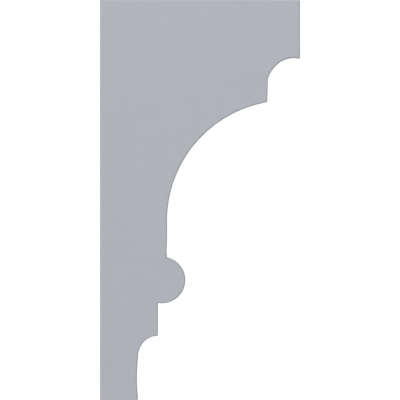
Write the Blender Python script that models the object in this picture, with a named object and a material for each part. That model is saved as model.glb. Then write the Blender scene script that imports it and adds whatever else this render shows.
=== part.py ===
# Moulded polyurethane bracket that carries an eave, a beam or a shelf off a wall.
# It is one casting: a side outline of moulding members, one above the other, run straight across its width.
# +X stands out from the wall, +Y runs across the width and +Z is up.
# The origin is the middle of the wall face.

import math

import bmesh
import bpy
from mathutils import Vector

# Sizes in metres. The members go from the foot up. A height runs along the wall, and a reach is how far
# a member stands out past the one below it.
WIDTH = 0.1016
EDGE_RADIUS = 0.0015

FOOT_PROJECTION = 0.0578
FOOT_HEIGHT = 0.0656
FOOT_HOLLOW = 0.0018
FOOT_BAND_HEIGHT = 0.0039

FOOT_COVE_REACH = 0.0302
FOOT_COVE_HEIGHT = 0.0280

STEP_HEIGHT = 0.0504

BEAD_REACH = 0.0142
BEAD_HEIGHT = 0.0694
BEAD_SWELL = 0.0349

QUIRK_SETBACK = 0.0001
QUIRK_HEIGHT = 0.0225
QUIRK_HOLLOW = 0.00085

NECK_HEIGHT = 0.0334

GREAT_COVE_REACH = 0.1528
GREAT_COVE_HEIGHT = 0.1810

FILLET_LEAN = 0.0010
FILLET_HEIGHT = 0.0353

UPPER_COVE_REACH = 0.0489
UPPER_COVE_HEIGHT = 0.0311

LIP_HEIGHT = 0.0890

# A cove is a stretch of an upright ellipse. These are its first and last angles in degrees, from +X to +Z.
# The great cove leaves the neck upright, at 180, and the two small coves pass their crown, at 90.
FOOT_COVE_ANGLES = (168.0, 87.0)
GREAT_COVE_ANGLES = (180.0, 100.0)
UPPER_COVE_ANGLES = (156.8, 78.0)

# Round stretches are drawn as short straight runs. The runs are twice as long as the eased edge is wide,
# so that the easing of a corner never crosses a run.
RUN_LENGTH = 2 * EDGE_RADIUS
FEWEST_RUNS = 4
EDGE_STEPS = 3

# Points closer than this are one point. Faces that meet at more than this angle, in degrees, meet in an edge.
SEW_DISTANCE = 0.00001
SHARP_ANGLE = 20

# Sprayed grey primer, as linear red, green and blue.
PRIMER_COLOUR = (0.434, 0.456, 0.479, 1.0)
PRIMER_ROUGHNESS = 0.6


def runs(length):
    """Number of straight runs that a round stretch of this length is drawn with."""
    return max(FEWEST_RUNS, round(length / RUN_LENGTH))


def straight(start, reach, height):
    """The end of a straight member."""
    return [start + Vector((reach, height))]


def bow(start, reach, height, swell):
    """A circular arc that stands out from its chord by the swell. With a negative swell it is hollow."""
    chord = Vector((reach, height))
    outward = Vector((height, -reach)).normalized()
    half_sweep = 2 * math.atan(2 * swell / chord.length)
    radius = chord.length / (2 * math.sin(half_sweep))
    centre = start + chord / 2 + outward * (swell - radius)
    count = runs(abs(2 * half_sweep * radius))
    points = []
    for i in range(1, count + 1):
        turn = half_sweep * (2 * i / count - 1)
        points.append(centre + radius * (outward * math.cos(turn) + chord.normalized() * math.sin(turn)))
    return points


def cove(start, reach, height, angles):
    """A stretch of an upright ellipse between two angles, as wide as the reach and as high as the height."""
    first, last = (math.radians(angle) for angle in angles)
    radius_x = reach / (math.cos(last) - math.cos(first))
    radius_z = height / (math.sin(last) - math.sin(first))
    centre = start - Vector((radius_x * math.cos(first), radius_z * math.sin(first)))
    count = runs(abs(last - first) * (radius_x + radius_z) / 2)
    points = []
    for i in range(1, count + 1):
        angle = first + (last - first) * i / count
        points.append(centre + Vector((radius_x * math.cos(angle), radius_z * math.sin(angle))))
    return points


def side_outline():
    """Corner points of the side outline, from the foot up the front and back down the wall."""
    outline = [Vector((FOOT_PROJECTION, 0.0))]
    outline += bow(outline[-1], 0.0, FOOT_HEIGHT, -FOOT_HOLLOW)
    outline += straight(outline[-1], 0.0, FOOT_BAND_HEIGHT)
    outline += cove(outline[-1], FOOT_COVE_REACH, FOOT_COVE_HEIGHT, FOOT_COVE_ANGLES)
    outline += straight(outline[-1], 0.0, STEP_HEIGHT)
    outline += bow(outline[-1], BEAD_REACH, BEAD_HEIGHT, BEAD_SWELL)
    outline += bow(outline[-1], -QUIRK_SETBACK, QUIRK_HEIGHT, -QUIRK_HOLLOW)
    outline += straight(outline[-1], 0.0, NECK_HEIGHT)
    outline += cove(outline[-1], GREAT_COVE_REACH, GREAT_COVE_HEIGHT, GREAT_COVE_ANGLES)
    outline += straight(outline[-1], FILLET_LEAN, FILLET_HEIGHT)
    outline += cove(outline[-1], UPPER_COVE_REACH, UPPER_COVE_HEIGHT, UPPER_COVE_ANGLES)
    outline += straight(outline[-1], 0.0, LIP_HEIGHT)
    top = outline[-1].y
    outline += [Vector((0.0, top)), Vector((0.0, 0.0))]
    middle = Vector((0.0, top / 2))
    return [point - middle for point in outline]


def primer_material():
    material = bpy.data.materials.new("grey primer")
    material.use_nodes = True
    shader = material.node_tree.nodes["Principled BSDF"]
    shader.inputs["Base Color"].default_value = PRIMER_COLOUR
    shader.inputs["Roughness"].default_value = PRIMER_ROUGHNESS
    shader.inputs["Metallic"].default_value = 0.0
    return material


def outline_curve(outline):
    """The outline as a filled flat curve, run across the width, with its two side rims eased."""
    curve = bpy.data.curves.new("side outline", "CURVE")
    curve.dimensions = "2D"
    curve.fill_mode = "BOTH"
    curve.extrude = WIDTH / 2 - EDGE_RADIUS
    curve.bevel_depth = EDGE_RADIUS
    curve.bevel_resolution = EDGE_STEPS - 1
    curve.offset = -EDGE_RADIUS
    spline = curve.splines.new("POLY")
    spline.points.add(len(outline) - 1)
    for point, place in zip(spline.points, outline):
        point.co = (place.x, place.y, 0.0, 1.0)
    spline.use_cyclic_u = True
    return curve


def bracket(collection):
    """The casting: its flat sides are sewn to the rims, and its coves and bead are shaded round."""
    flat = bpy.data.objects.new("side outline", outline_curve(side_outline()))
    collection.objects.link(flat)
    mesh = bpy.data.meshes.new_from_object(flat.evaluated_get(bpy.context.evaluated_depsgraph_get()))
    bpy.data.objects.remove(flat, do_unlink=True)
    body = bmesh.new()
    body.from_mesh(mesh)
    bmesh.ops.remove_doubles(body, verts=body.verts, dist=SEW_DISTANCE)
    body.to_mesh(mesh)
    body.free()
    mesh.materials.clear()
    mesh.materials.append(primer_material())
    mesh.shade_smooth()
    mesh.set_sharp_from_angle(angle=math.radians(SHARP_ANGLE))
    casting = bpy.data.objects.new("bracket", mesh)
    casting.rotation_euler = (math.radians(90), 0.0, 0.0)
    collection.objects.link(casting)


def main():
    for old in list(bpy.data.objects):
        bpy.data.objects.remove(old, do_unlink=True)
    collection = bpy.data.collections.new("polyurethane bracket")
    bpy.context.scene.collection.children.link(collection)
    bracket(collection)


main()
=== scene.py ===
import math

import bpy
import numpy as np
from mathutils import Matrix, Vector


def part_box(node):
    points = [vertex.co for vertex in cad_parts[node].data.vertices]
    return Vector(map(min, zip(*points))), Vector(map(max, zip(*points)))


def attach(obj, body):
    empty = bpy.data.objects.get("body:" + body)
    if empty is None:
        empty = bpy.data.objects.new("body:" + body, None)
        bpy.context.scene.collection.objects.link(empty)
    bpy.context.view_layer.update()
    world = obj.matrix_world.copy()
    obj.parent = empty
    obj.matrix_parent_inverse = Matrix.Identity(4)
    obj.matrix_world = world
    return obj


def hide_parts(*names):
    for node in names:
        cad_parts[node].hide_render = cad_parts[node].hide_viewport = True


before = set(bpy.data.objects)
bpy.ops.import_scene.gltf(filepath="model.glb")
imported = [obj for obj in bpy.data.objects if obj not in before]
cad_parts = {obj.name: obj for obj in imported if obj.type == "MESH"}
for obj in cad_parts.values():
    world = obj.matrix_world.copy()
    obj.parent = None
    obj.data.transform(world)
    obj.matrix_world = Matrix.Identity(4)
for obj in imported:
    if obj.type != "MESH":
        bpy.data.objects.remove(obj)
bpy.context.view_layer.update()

mm = 0.001

# The casting. Its side outline is a chain of members from the foot up. All sizes here are in millimetres.
# A bow is a circular arc: how far it reaches out, its height, and how much it stands out from its chord.
# A cove is a stretch of an upright ellipse: its reach, its height, and its first and last angle in degrees.
casting = {
    "footProjection": 57.8,
    "members": [
        ("bow", 0.0, 65.6, -1.8),  # hollow foot
        ("straight", 0.0, 3.9),  # band over the foot
        ("cove", 30.2, 28.0, 168.0, 87.0),  # foot cove
        ("straight", 0.0, 50.4),  # step
        ("bow", 14.2, 69.4, 34.9),  # bead
        ("bow", -0.1, 22.5, -0.85),  # quirk over the bead
        ("straight", 0.0, 33.4),  # neck
        ("cove", 152.8, 181.0, 180.0, 100.0),  # great cove
        ("straight", 1.0, 35.3),  # fillet
        ("cove", 48.9, 31.1, 156.8, 78.0),  # upper cove
        ("straight", 0.0, 89.0),  # lip
    ],
    "edgeRadius": 1.0,  # outer edges that run across the width
    "hollowRadius": 0.5,  # inner corners between two members
    "rimRadius": 2.3,  # edges round the two sides
    "rimMitre": 0.65,  # 0 turns the rim round a corner like a bent pipe, 1 mitres it like a picture frame
    "guard": 0.2,  # flat strip beside the rim, so that the rim's shading doesn't run into the side
    "rimSteps": 7,  # rings round each rim
    "widthSteps": 26,  # steps from rim to rim
    "denseStep": 0.2,  # spacing of the points that the outline is worked out with
    "longestRun": 4.0,  # spacing of the points kept on straight stretches
    "sharpestTurn": 9.0,  # most degrees that the outline turns at one point
    "spread": 3.0,  # how far the close spacing at a corner reaches to both sides
    "unevenness": 0.25,  # depth of the slow waves that a soft mould leaves
    "fadeIn": 20.0,  # how far from the wall the waves have their full depth
    "waves": [  # each wave's turning along x, y and z in radians for each metre, its height and its phase
        (33, 5, 12, 1.0, 0.4),
        (-14, 9, 38, 0.9, 1.9),
        (61, -22, 27, 0.5, 3.1),
        (8, 71, -49, 0.4, 4.4),
        (45, 13, -66, 0.35, 5.6),
    ],
}


# A direction of length one: vector / its length.
def unit(vector):
    return vector / np.hypot(*vector)


# Distance along a line at each of its points: the running sum of the steps' lengths.
def arcLength(line):
    return np.concatenate([[0], np.cumsum(np.hypot(*np.diff(line[:, :2], axis=0).T))])


# The columns of a line, read at other distances along it.
def readLine(line, along, wanted):
    return np.stack([np.interp(wanted, along, column) for column in line.T], axis=1)


# One member as a dense row of points from its start.
# straight: start + t (reach, height), with t from 0 to 1.
# bow: a circle of radius chord / (2 sin h), swept from -h to h, where tan(h / 2) = 2 swell / chord.
# cove: an ellipse between two angles, stretched until its two ends are reach and height apart.
def memberLine(start, kind, reach, height, *shape):
    chord = np.array([reach, height])
    length = np.hypot(reach, height)
    count = round(1.5 * length / casting["denseStep"])  # a half circle is about 1.5 times its chord
    t = np.linspace(0, 1, count)[:, None]
    if kind == "straight":
        return start + t * chord
    if kind == "bow":
        swell = shape[0]
        outward = np.array([height, -reach]) / length
        halfSweep = 2 * math.atan(2 * swell / length)
        radius = length / (2 * math.sin(halfSweep))
        turn = halfSweep * (2 * t - 1)
        centre = start + chord / 2 + outward * (swell - radius)
        return centre + radius * (outward * np.cos(turn) + chord / length * np.sin(turn))
    angle = np.radians(shape[0] + (shape[1] - shape[0]) * t)
    swept = np.hstack([np.cos(angle) - np.cos(angle[0]), np.sin(angle) - np.sin(angle[0])])
    return start + swept * chord / swept[-1]


# Joins a closed chain of lines into one outline. Its columns are x, z, the outward normal and the rim's
# direction: each ring of the rim is outline - inset x rim direction.
# An arc of the edge's radius leads from each line into the next and takes radius tan(turn / 2) off both.
# On a line the rim direction is normal + mitre x slide x tangent. The slide goes evenly from -tan(turn / 2)
# of the corner behind to tan(turn / 2) of the corner ahead.
# On an arc it is (1 - mitre) normal + mitre (first + last) / (1 + first . last), where first and last are
# the arc's normals at its two ends.
def easedOutline(lines):
    mitre = casting["rimMitre"]
    arriving = np.array([unit(line[-1] - line[-2]) for line in lines])
    leaving = np.roll([unit(line[1] - line[0]) for line in lines], -1, axis=0)
    cross = arriving[:, 0] * leaving[:, 1] - arriving[:, 1] * leaving[:, 0]
    turn = np.arctan2(cross, (arriving * leaving).sum(1))
    radius = np.where(turn > 0, casting["edgeRadius"], -casting["hollowRadius"])
    trim = radius * np.tan(turn / 2)
    outline = []
    for i, line in enumerate(lines):
        along = arcLength(line)
        kept = np.linspace(trim[i - 1], along[-1] - trim[i], len(line))
        points = readLine(line, along, kept)
        tangent = np.gradient(points, axis=0)
        tangent /= np.hypot(*tangent.T)[:, None]
        normal = tangent @ [[0, -1], [1, 0]]
        slide = np.linspace(-math.tan(turn[i - 1] / 2), math.tan(turn[i] / 2), len(line))[:, None]
        outline.append(np.hstack([points, normal, normal + mitre * slide * tangent]))
        first = np.array([arriving[i][1], -arriving[i][0]])
        last = np.array([leaving[i][1], -leaving[i][0]])
        angle = np.linspace(0, turn[i], 2 + round(abs(math.degrees(turn[i]))))[1:-1, None]
        normal = first * np.cos(angle) + arriving[i] * np.sin(angle)
        points = points[-1] + radius[i] * (normal - first)
        corner = (first + last) / (1 + first @ last)
        outline.append(np.hstack([points, normal, (1 - mitre) * normal + mitre * corner]))
    return np.concatenate(outline)


# Keeps the points that the outline needs: close together where it turns, far apart where it is straight.
# Their number per step is step / longestRun + turning / sharpestTurn, with the turning smoothed along it.
def evenlyTurned(outline):
    closed = np.vstack([outline, outline[:1]])
    along = arcLength(closed)
    step = casting["denseStep"]
    line = readLine(closed, along, np.arange(0, along[-1], step))
    heading = np.arctan2(line[:, 3], line[:, 2])
    turning = np.abs((heading - np.roll(heading, 1) + math.pi) % (2 * math.pi) - math.pi)
    reach = round(casting["spread"] / step)
    kernel = np.hanning(2 * reach + 1)
    wrapped = np.concatenate([turning[-reach:], turning, turning[:reach]])
    turning = np.convolve(wrapped, kernel / kernel.sum(), "valid")
    perStep = step / casting["longestRun"] + turning / math.radians(casting["sharpestTurn"])
    needed = np.cumsum(np.append(0, perStep))
    wanted = np.linspace(0, needed[-1], math.ceil(needed[-1]), endpoint=False)
    return readLine(np.vstack([line, line[:1]]), needed, wanted)


# The bracket's side, anticlockwise from the lower corner at the wall: the underside, the members, the top
# and the wall face, each read at even steps.
def sideOutline():
    lines = [np.array([[0.0, 0.0], [casting["footProjection"], 0.0]])]
    for member in casting["members"]:
        lines.append(memberLine(lines[-1][-1], *member))
    lip = lines[-1][-1]
    lines.append(np.array([lip, [0.0, lip[1]]]))
    lines.append(np.array([[0.0, lip[1]], [0.0, 0.0]]))
    dense = []
    for line in lines:
        along = arcLength(line)
        count = round(along[-1] / casting["denseStep"])
        dense.append(readLine(line, along, np.linspace(0, along[-1], count)))
    return evenlyTurned(easedOutline(dense))


# Stations from one side to the other: how far each ring lies in from the outline, and its y.
# The rim is a quarter circle: inset = radius (1 - sin turn) and y = half width - radius (1 - cos turn).
# Between the rims y goes as the cosine of even angles, so that the rings lie closer beside the rims.
def acrossWidth(width):
    radius = casting["rimRadius"] * mm
    turn = np.radians(np.linspace(0, 90, casting["rimSteps"] + 1))
    inset = np.append(radius + casting["guard"] * mm, radius * (1 - np.sin(turn)))
    y = np.append(width / 2, width / 2 - radius * (1 - np.cos(turn)))
    middle = np.cos(np.linspace(0, math.pi, casting["widthSteps"] + 1))[1:-1] * y[-1]
    insets = np.concatenate([inset, np.zeros(len(middle)), inset[::-1]])
    return insets, np.concatenate([-y, -middle, y[::-1]])


# A slow wave from 0 to 1: half of 1 + the mean of the sines, whose waves are 70 to 180 mm long.
def slowWave(points):
    waves = np.array(casting["waves"])
    heights = waves[:, 3]
    return 0.5 + 0.5 * np.sin(points @ waves[:, :3].T + waves[:, 4]) @ heights / heights.sum()


# A new object, linked to the scene.
def newObject(name, data):
    thing = bpy.data.objects.new(name, data)
    bpy.context.scene.collection.objects.link(thing)
    return thing


# The whole surface as rings by outline points: point = outline - inset x rim direction, at the ring's y.
# The slow wave then draws it in along the outline's normal. The share 1 - (y / half width)^2 keeps the
# sides true, and x / fadeIn, up to 1, keeps the planed wall face flat.
def buildCasting(box):
    outline = sideOutline()
    inset, y = acrossWidth(box[1].y - box[0].y)
    flat = outline[None, :, :2] * mm - inset[:, None, None] * outline[None, :, 4:]
    rings, count = flat.shape[:2]
    points = np.empty((rings, count, 3))
    points[..., 0] = flat[..., 0] + box[0].x
    points[..., 1] = y[:, None]
    points[..., 2] = flat[..., 1] + box[0].z
    share = (1 - (y / y[0]) ** 2)[:, None] * np.clip(points[..., 0] / mm / casting["fadeIn"], 0, 1)
    drawn = casting["unevenness"] * mm * slowWave(points) * share
    points[..., [0, 2]] -= drawn[..., None] * outline[None, :, 2:4]
    grid = np.arange(rings * count).reshape(rings, count)
    after = np.roll(grid, -1, axis=1)
    quads = np.stack([grid[:-1], grid[1:], after[1:], after[:-1]], axis=-1).reshape(-1, 4)
    sides = [grid[0].tolist(), grid[-1][::-1].tolist()]
    mesh = bpy.data.meshes.new("bracketCasting")
    mesh.from_pydata(points.reshape(-1, 3).tolist(), [], quads.tolist() + sides)
    mesh.shade_smooth()
    for side in mesh.polygons[-len(sides):]:
        side.use_smooth = False
    print("casting:", rings, "rings of", count, "points,", len(mesh.polygons), "faces")
    return newObject("bracketCasting", mesh)


# sRGB hex to linear red, green, blue and alpha.
def linear(hexColour):
    values = np.array([int(hexColour[i:i + 2], 16) for i in (1, 3, 5)]) / 255
    values = np.where(values <= 0.04045, values / 12.92, ((values + 0.055) / 1.055) ** 2.4)
    return (*values, 1.0)


# Adds a node. Inputs are sockets by name or number, each with its value or the socket that feeds it.
# A Mix node's inputs are 0 for the share, 2 and 3 for two numbers, and 6 and 7 for two colours.
def addNode(tree, kind, inputs, **settings):
    node = tree.nodes.new(kind)
    for name, value in settings.items():
        setattr(node, name, value)
    for name, value in inputs.items():
        if isinstance(value, bpy.types.NodeSocket):
            tree.links.new(value, node.inputs[name])
        else:
            node.inputs[name].default_value = value
    return node


# The empty node tree of a material or a world.
def newTree(owner):
    owner.use_nodes = True
    owner.node_tree.nodes.clear()
    return owner.node_tree


# Moulded closed-cell polyurethane with a sprayed grey primer. The mould gives it a dense skin without grain,
# and the primer dries to an even, dull grey: faint clouds where the coats overlap, and a shallow orange peel.
# The wall face is the open side of the mould, planed flat. It shows cut cells, blow holes and the plane's
# marks, and the primer lies thinner there and lets a little of the buff foam through. The blow holes are
# coloured dark grey as painted shade inside them.
# Sizes, depths and spacings are in millimetres.
finish = {
    "primerLow": "#ACB0B6",
    "primerHigh": "#B3B7BC",
    "buffFoam": "#BDB5A0",
    # painted shade: the dark grey put inside the blow holes
    "holeShade": "#85837C",
    "roughness": (0.66, 0.74),  # of the primer, from its darkest clouds to its lightest
    "wallRoughness": 0.85,
    "ior": 1.45,  # acrylic binders are near 1.45 to 1.5
    "noises": {  # the size of each pattern, and how many finer layers it has
        "clouds": (35.0, 2.0),  # width of one pass of the spray gun's soft edge
        "grain": (1.8, 0.5),  # spray droplets are 0.1 to 0.3 mm, too fine to show, so they are drawn coarser
        "peel": (2.5, 1.0),  # ripples of the orange peel
        "thin": (22.0, 4.0),  # thin places of the primer on the wall face
        "cells": (0.9, 1.0),  # foam cells are 0.2 to 0.4 mm, drawn coarser too
    },
    "grainShare": 0.45,  # the grain's part in the tone, where the clouds have the rest
    "peelDepth": 0.012,
    "wallDepth": (0.4, 1.4),  # the wall face's finish ends between these distances from the wall
    "buffShare": 0.45,  # how much of the foam shows where the primer is thinnest
    "cellDepth": 0.06,
    "holeSpacing": 8.0,
    "holeRadius": (0.8, 1.2),  # to the rim and to the outside of a blow hole
    "holeDepth": 0.5,
    "planeMark": 3.5,  # spacing of the plane's marks
    "planeWander": (1.5, 0.2),  # how much the marks waver, and how fine the wavering is
    "planeDepth": 0.03,
}
waveTurn = 20  # radians that a Wave Texture node turns through along one unit, at a scale of 1


# One finish for the whole casting: the primer everywhere, and the planed foam within wallDepth of the wall.
def primedUrethane():
    material = bpy.data.materials.new("primedUrethane")
    tree = newTree(material)
    place = addNode(tree, "ShaderNodeTexCoord", {}).outputs["Object"]
    noises = {}
    for name, (size, detail) in finish["noises"].items():
        noises[name] = addNode(tree, "ShaderNodeTexNoise", {
            "Vector": place, "Scale": 1 / size / mm, "Detail": detail,
        }).outputs[0]

    # The primer.
    tone = addNode(tree, "ShaderNodeMix", {0: finish["grainShare"], 2: noises["clouds"], 3: noises["grain"]})
    primer = addNode(tree, "ShaderNodeMix", {
        0: tone.outputs[0], 6: linear(finish["primerLow"]), 7: linear(finish["primerHigh"]),
    }, data_type="RGBA")
    dullness = addNode(tree, "ShaderNodeMapRange", {
        "Value": noises["clouds"], "To Min": finish["roughness"][0], "To Max": finish["roughness"][1],
    })
    peelHeight = addNode(tree, "ShaderNodeMath", {
        0: noises["peel"], 1: finish["peelDepth"],
    }, operation="MULTIPLY")

    # The planed foam: its colours.
    buffShare = addNode(tree, "ShaderNodeMath", {
        0: noises["thin"], 1: finish["buffShare"],
    }, operation="MULTIPLY")
    buff = addNode(tree, "ShaderNodeMix", {
        0: buffShare.outputs[0], 6: primer.outputs[2], 7: linear(finish["buffFoam"]),
    }, data_type="RGBA")
    spots = addNode(tree, "ShaderNodeTexVoronoi", {
        "Vector": place, "Scale": 1 / finish["holeSpacing"] / mm,
    })
    holes = addNode(tree, "ShaderNodeMapRange", {
        "Value": spots.outputs["Distance"],
        "From Min": finish["holeRadius"][1] / finish["holeSpacing"],
        "From Max": finish["holeRadius"][0] / finish["holeSpacing"],
    })
    # The blow holes: their real dip is in the height below, and the dark grey mixed in here is painted shade
    # inside them.
    planed = addNode(tree, "ShaderNodeMix", {
        0: holes.outputs[0], 6: buff.outputs[2], 7: linear(finish["holeShade"]),
    }, data_type="RGBA")

    # The planed foam: its height is cellDepth x cells + planeDepth x marks - holeDepth x holes.
    marks = addNode(tree, "ShaderNodeTexWave", {
        "Vector": place, "Scale": 2 * math.pi / waveTurn / finish["planeMark"] / mm,
        "Distortion": finish["planeWander"][0], "Detail Scale": finish["planeWander"][1],
    }, bands_direction="Z")
    cellHeight = addNode(tree, "ShaderNodeMath", {
        0: noises["cells"], 1: finish["cellDepth"],
    }, operation="MULTIPLY")
    markHeight = addNode(tree, "ShaderNodeMath", {
        0: marks.outputs[1], 1: finish["planeDepth"], 2: cellHeight.outputs[0],
    }, operation="MULTIPLY_ADD")
    wallHeight = addNode(tree, "ShaderNodeMath", {
        0: holes.outputs[0], 1: -finish["holeDepth"], 2: markHeight.outputs[0],
    }, operation="MULTIPLY_ADD")

    # Both together, parted by the distance from the wall.
    along = addNode(tree, "ShaderNodeSeparateXYZ", {0: place})
    wall = addNode(tree, "ShaderNodeMapRange", {
        "Value": along.outputs["X"],
        "From Min": finish["wallDepth"][1] * mm,
        "From Max": finish["wallDepth"][0] * mm,
    }).outputs[0]
    colour = addNode(tree, "ShaderNodeMix", {
        0: wall, 6: primer.outputs[2], 7: planed.outputs[2],
    }, data_type="RGBA")
    roughness = addNode(tree, "ShaderNodeMix", {
        0: wall, 2: dullness.outputs[0], 3: finish["wallRoughness"],
    })
    height = addNode(tree, "ShaderNodeMix", {
        0: wall, 2: peelHeight.outputs[0], 3: wallHeight.outputs[0],
    })
    bump = addNode(tree, "ShaderNodeBump", {"Distance": mm, "Height": height.outputs[0]})
    shader = addNode(tree, "ShaderNodeBsdfPrincipled", {
        "Base Color": colour.outputs[2], "Roughness": roughness.outputs[0], "IOR": finish["ior"],
        "Normal": bump.outputs[0],
    })
    addNode(tree, "ShaderNodeOutputMaterial", {"Surface": shader.outputs["BSDF"]})
    print("finish:", len(tree.nodes), "nodes")
    return material


# The floor, the surround and the lights, in metres and watts. The floor lies well below the foot, too low to
# show in the main view. The key and the fill light the side that faces the camera, the top light the upper
# faces, and the two lights behind the far side, the moulded front and the wall face. Each light's place is
# measured from the middle of the wall face.
studio = {
    "floorDrop": 0.2,  # below the foot
    "floorRadius": 9.0,
    "floorSides": 96,
    "floorColour": "#D4D4D2",
    "floorRoughness": 0.9,
    "backdrop": "#FFFFFF",  # what the camera sees round the bracket
    "backdropStrength": 1.05,  # a little overexposed, so that it stays white to the corners
    "ambient": 0.09,  # strength of the even light from all round
    "lights": [
        {"name": "key", "place": (-7.4, -15.3, 6.0), "size": 6.0, "power": 1590.0},
        {"name": "fill", "place": (0.3, -2.6, 1.5), "size": 1.2, "power": 24.6},
        {"name": "top", "place": (0.2, -0.5, 12.0), "size": 5.0, "power": 210.0},
        {"name": "backRight", "place": (5.0, 8.0, 4.0), "size": 3.0, "power": 760.0},
        {"name": "backLeft", "place": (-4.5, 8.5, 3.0), "size": 3.0, "power": 250.0},
    ],
}


# A disc of matt painted board, even and pale: radius (cos, sin) of evenly spaced angles, at one height.
def plainFloor(box):
    angle = np.linspace(0, 2 * math.pi, studio["floorSides"], endpoint=False)
    points = np.zeros((studio["floorSides"], 3))
    points[:, 0] = (box[0].x + box[1].x) / 2 + studio["floorRadius"] * np.cos(angle)
    points[:, 1] = studio["floorRadius"] * np.sin(angle)
    points[:, 2] = box[0].z - studio["floorDrop"]
    mesh = bpy.data.meshes.new("floor")
    mesh.from_pydata(points.tolist(), [], [list(range(studio["floorSides"]))])
    material = bpy.data.materials.new("paleFloor")
    tree = newTree(material)
    shader = addNode(tree, "ShaderNodeBsdfPrincipled", {
        "Base Color": linear(studio["floorColour"]), "Roughness": studio["floorRoughness"],
    })
    addNode(tree, "ShaderNodeOutputMaterial", {"Surface": shader.outputs["BSDF"]})
    mesh.materials.append(material)
    newObject("floor", mesh)
    print("floor:", 2 * studio["floorRadius"], "m across")


# The camera sees a white surround. Everything else is lit by a dimmer even one, and by soft discs of light
# that all face the middle of the bracket.
def softStudio(box):
    scene = bpy.context.scene
    scene.view_settings.view_transform = "Standard"
    scene.world = bpy.data.worlds.new("studio")
    tree = newTree(scene.world)
    ambient = addNode(tree, "ShaderNodeBackground", {"Strength": studio["ambient"]})
    backdrop = addNode(tree, "ShaderNodeBackground", {
        "Color": linear(studio["backdrop"]), "Strength": studio["backdropStrength"],
    })
    surround = addNode(tree, "ShaderNodeMixShader", {
        0: addNode(tree, "ShaderNodeLightPath", {}).outputs["Is Camera Ray"],
        1: ambient.outputs[0],
        2: backdrop.outputs[0],
    })
    addNode(tree, "ShaderNodeOutputWorld", {"Surface": surround.outputs[0]})
    middle = (box[0] + box[1]) / 2
    for light in studio["lights"]:
        data = bpy.data.lights.new(light["name"], "AREA")
        data.shape = "DISK"
        data.size = light["size"]
        data.energy = light["power"]
        lamp = newObject(light["name"], data)
        lamp.location = light["place"]
        lamp.rotation_euler = (middle - lamp.location).to_track_quat("-Z", "Y").to_euler()
        lamp.visible_camera = False
    print("studio:", len(studio["lights"]), "lights")


# The photo is a square-on side view. A long lens far off shows the side almost without perspective.
photo = {
    "lens": 1450.0,  # in millimetres, as the sensor is
    "sensor": 36.0,
    "frameHeight": 1.0,  # height of the frame, in heights of the bracket
}


# Looks along +Y at the middle of the near side. Distance = frame height x lens / sensor.
def squareCamera(box):
    data = bpy.data.cameras.new("camera")
    data.lens = photo["lens"]
    data.sensor_width = photo["sensor"]
    distance = (box[1].z - box[0].z) * photo["frameHeight"] * photo["lens"] / photo["sensor"]
    data.clip_end = 2 * distance
    camera = newObject("camera", data)
    camera.location = Vector(((box[0].x + box[1].x) / 2, box[0].y - distance, (box[0].z + box[1].z) / 2))
    camera.rotation_euler = (math.radians(90), 0, 0)
    bpy.context.scene.camera = camera
    print("camera:", round(distance, 2), "m from the side")


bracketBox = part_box("bracket")
squareCamera(bracketBox)
plainFloor(bracketBox)
softStudio(bracketBox)

bracketCasting = buildCasting(bracketBox)
bracketCasting.data.materials.append(primedUrethane())
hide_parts("bracket")
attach(bracketCasting, "root")
